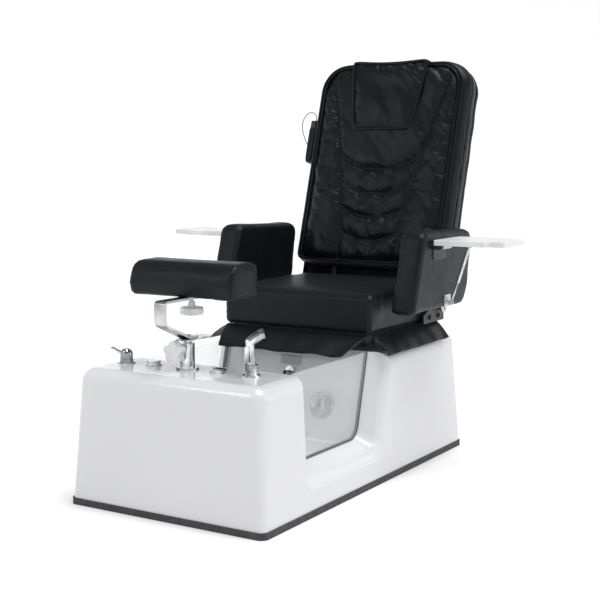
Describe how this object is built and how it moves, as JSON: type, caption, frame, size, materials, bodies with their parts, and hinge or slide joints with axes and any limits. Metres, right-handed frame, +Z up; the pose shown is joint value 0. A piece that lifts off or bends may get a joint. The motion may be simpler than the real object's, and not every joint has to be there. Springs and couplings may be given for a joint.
{
  "type": "pedicure spa chair",
  "caption": "Moulded foot tub with glass sides under a sliding, reclining massage seat with flip-up armrests, fold-down trays and a height-adjustable footrest.",
  "frame": {"origin": "centre of the tub's footprint, on the floor, under the centre levelling foot", "axes": "+Z up, -Y the chair's front (footrest end), +X the side on the sitter's left hand"},
  "size_m": [1.304, 1.5446, 1.3991],
  "materials": {
    "white_acrylic": "gloss",
    "black_rubber": "matte",
    "clear_glass": "gloss",
    "seal_rubber": "matte",
    "chrome": "polished",
    "flat_bar_steel": "satin",
    "zinc_steel": "satin",
    "black_steel": "satin",
    "frosted_plastic": "satin",
    "grey_plastic": "satin",
    "black_plastic": "satin",
    "white_plastic": "satin",
    "black_upholstery": "satin",
    "board_wood": "matte",
    "cord_rubber": "satin"
  },
  "bodies": {
    "base": {"tub_shell": "white_acrylic", "base_trim": "black_rubber", "basin": "white_acrylic", "window_glass": "clear_glass", "window_seals": "seal_rubber", "base_frame": "black_steel", "levelling_feet": "zinc_steel", "jet_housing": "chrome", "jet_motor": "black_plastic", "drain": "chrome", "fill_spout": "chrome", "water_supply": "zinc_steel", "power_supply": "black_plastic", "mixer_base": "chrome", "air_bezel": "chrome", "shower_holder": "chrome", "post_socket": "chrome", "slide_rails": "zinc_steel"},
    "jet_cap": {"jet_cap": "chrome"},
    "jet_impeller": {"jet_impeller": "grey_plastic"},
    "mixer_dome": {"mixer_dome": "chrome"},
    "mixer_lever": {"mixer_lever": "chrome"},
    "diverter_knob": {"diverter_knob": "chrome"},
    "air_button": {"air_button": "chrome"},
    "hand_shower": {"hand_shower": "chrome"},
    "shower_trigger": {"shower_trigger": "chrome"},
    "footrest_post": {"footrest_post": "chrome"},
    "post_knob": {"post_knob": "frosted_plastic"},
    "footrest_arm": {"footrest_bracket": "flat_bar_steel"},
    "footrest_knob": {"footrest_knob": "frosted_plastic"},
    "footrest_pad": {"footrest_cushion": "black_upholstery"},
    "seat": {"seat_frame": "black_steel", "seat_board": "board_wood", "seat_cushion": "black_upholstery", "seat_actuators": "black_plastic", "seat_skirt": "black_upholstery", "arm_brackets": "black_steel"},
    "recline_rod": {"recline_rod": "zinc_steel"},
    "backrest": {"back_panel": "black_upholstery", "back_foam": "black_upholstery", "back_shell": "black_plastic", "back_frame": "black_steel", "head_pillow": "black_upholstery", "remote_pocket": "black_upholstery", "remote": "black_plastic", "remote_cord": "cord_rubber"},
    "massage_carriage": {"massage_carriage": "black_plastic"},
    "massage_rollers": {"massage_rollers": "grey_plastic"},
    "arm_right": {"armrest_right": "black_upholstery", "arm_hardware_right": "zinc_steel"},
    "tray_right": {"tray_right": "white_plastic", "tray_hinge_right": "zinc_steel"},
    "strut_rod_right": {"strut_rod_right": "chrome"},
    "strut_sleeve_right": {"strut_sleeve_right": "zinc_steel"},
    "arm_left": {"armrest_left": "black_upholstery", "arm_hardware_left": "zinc_steel"},
    "tray_left": {"tray_left": "white_plastic", "tray_hinge_left": "zinc_steel"},
    "strut_rod_left": {"strut_rod_left": "chrome"},
    "strut_sleeve_left": {"strut_sleeve_left": "zinc_steel"}
  },
  "joints": [
    {"name": "jet_cap_twist", "type": "hinge", "parent": "base", "child": "jet_cap", "pos_m": [0.129, 0.02931, 0.232], "axis": [0, -0.966, 0.2584], "range_deg": [0, 30]},
    {"name": "impeller_spin", "type": "hinge", "parent": "base", "child": "jet_impeller", "pos_m": [0.129, 0.02931, 0.232], "axis": [0, -0.966, 0.2584], "continuous": true},
    {"name": "mixer_swivel", "type": "hinge", "parent": "base", "child": "mixer_dome", "pos_m": [-0.259, -0.486, 0.43], "axis": [0, 0, 1], "range_deg": [-45, 45]},
    {"name": "mixer_lift", "type": "hinge", "parent": "mixer_dome", "child": "mixer_lever", "pos_m": [-0.259, -0.486, 0.439], "axis": [0, 1, 0], "range_deg": [0, 20]},
    {"name": "diverter_turn", "type": "hinge", "parent": "base", "child": "diverter_knob", "pos_m": [-0.163, -0.474, 0.42], "axis": [0, 0, 1], "range_deg": [0, 180]},
    {"name": "air_press", "type": "slide", "parent": "base", "child": "air_button", "axis": [0, 0, -1], "range_m": [0, 0.004], "stiffness_N_per_m": 800, "springref_m": -0.002},
    {"name": "shower_lift", "type": "slide", "parent": "base", "child": "hand_shower", "axis": [0, 0, 1], "range_m": [0, 0.25]},
    {"name": "shower_trigger_press", "type": "hinge", "parent": "hand_shower", "child": "shower_trigger", "pos_m": [0.189, -0.491, 0.498], "axis": [1, 0, 0], "range_deg": [0, 4], "stiffness_Nm_per_rad": 0.5, "springref_deg": -2.86},
    {"name": "footrest_lift", "type": "slide", "parent": "base", "child": "footrest_post", "axis": [0, 0, 1], "range_m": [0, 0.09]},
    {"name": "post_knob_turn", "type": "hinge", "parent": "base", "child": "post_knob", "pos_m": [-0.046, -0.47, 0.47], "axis": [0, 1, 0], "continuous": true},
    {"name": "footrest_swing", "type": "hinge", "parent": "footrest_post", "child": "footrest_arm", "pos_m": [-0.04, -0.47, 0.505], "axis": [0, 0, 1], "range_deg": [-90, 90]},
    {"name": "footrest_knob_turn", "type": "hinge", "parent": "footrest_arm", "child": "footrest_knob", "pos_m": [-0.04, -0.446, 0.585], "axis": [0, 0, 1], "continuous": true},
    {"name": "footrest_cushion_turn", "type": "hinge", "parent": "footrest_arm", "child": "footrest_pad", "pos_m": [-0.04, -0.446, 0.628], "axis": [0, 0, 1], "range_deg": [-90, 90]},
    {"name": "seat_slide", "type": "slide", "parent": "base", "child": "seat", "axis": [0, -1, 0], "range_m": [-0.04, 0.12]},
    {"name": "back_recline", "type": "hinge", "parent": "seat", "child": "backrest", "pos_m": [0, 0.613, 0.494], "axis": [-1, 0, 0], "range_deg": [0, 40]},
    {"name": "recline_push", "type": "slide", "parent": "seat", "child": "recline_rod", "axis": [0, -1, 0], "range_m": [-0.001, 0.042]},
    {"name": "massage_travel", "type": "slide", "parent": "backrest", "child": "massage_carriage", "axis": [0, 0.284, 0.9588], "range_m": [-0.2, 0.25]},
    {"name": "massage_knead", "type": "hinge", "parent": "massage_carriage", "child": "massage_rollers", "pos_m": [0, 0.70801, 0.96139], "axis": [1, 0, 0], "continuous": true},
    {"name": "armrest_lift_right", "type": "hinge", "parent": "seat", "child": "arm_right", "pos_m": [0.31, 0.56, 0.505], "axis": [-1, 0, 0], "range_deg": [0, 70]},
    {"name": "tray_fold_right", "type": "hinge", "parent": "arm_right", "child": "tray_right", "pos_m": [0.425, 0.33, 0.74], "axis": [0, 1, 0], "range_deg": [0, 90]},
    {"name": "strut_swing_right", "type": "hinge", "parent": "arm_right", "child": "strut_rod_right", "pos_m": [0.413, 0.405, 0.547], "axis": [0, 1, 0], "range_deg": [-14.5, 0.5]},
    {"name": "strut_stroke_right", "type": "slide", "parent": "strut_rod_right", "child": "strut_sleeve_right", "axis": [0.3088, 0, 0.9511], "range_m": [-0.0585, 0.0005]},
    {"name": "armrest_lift_left", "type": "hinge", "parent": "seat", "child": "arm_left", "pos_m": [-0.31, 0.56, 0.505], "axis": [-1, 0, 0], "range_deg": [0, 70]},
    {"name": "tray_fold_left", "type": "hinge", "parent": "arm_left", "child": "tray_left", "pos_m": [-0.425, 0.33, 0.74], "axis": [0, -1, 0], "range_deg": [0, 90]},
    {"name": "strut_swing_left", "type": "hinge", "parent": "arm_left", "child": "strut_rod_left", "pos_m": [-0.413, 0.405, 0.547], "axis": [0, -1, 0], "range_deg": [-14.5, 0.5]},
    {"name": "strut_stroke_left", "type": "slide", "parent": "strut_rod_left", "child": "strut_sleeve_left", "axis": [-0.3088, 0, 0.9511], "range_m": [-0.0585, 0.0005]}
  ],
  "couplings": [
    {"joint": "recline_push", "follows": "back_recline", "m_per_rad": 0.058789},
    {"joint": "strut_swing_right", "follows": "tray_fold_right", "ratio": -0.15537},
    {"joint": "strut_stroke_right", "follows": "tray_fold_right", "m_per_rad": -0.036581},
    {"joint": "strut_swing_left", "follows": "tray_fold_left", "ratio": -0.15537},
    {"joint": "strut_stroke_left", "follows": "tray_fold_left", "m_per_rad": -0.036581}
  ]
}
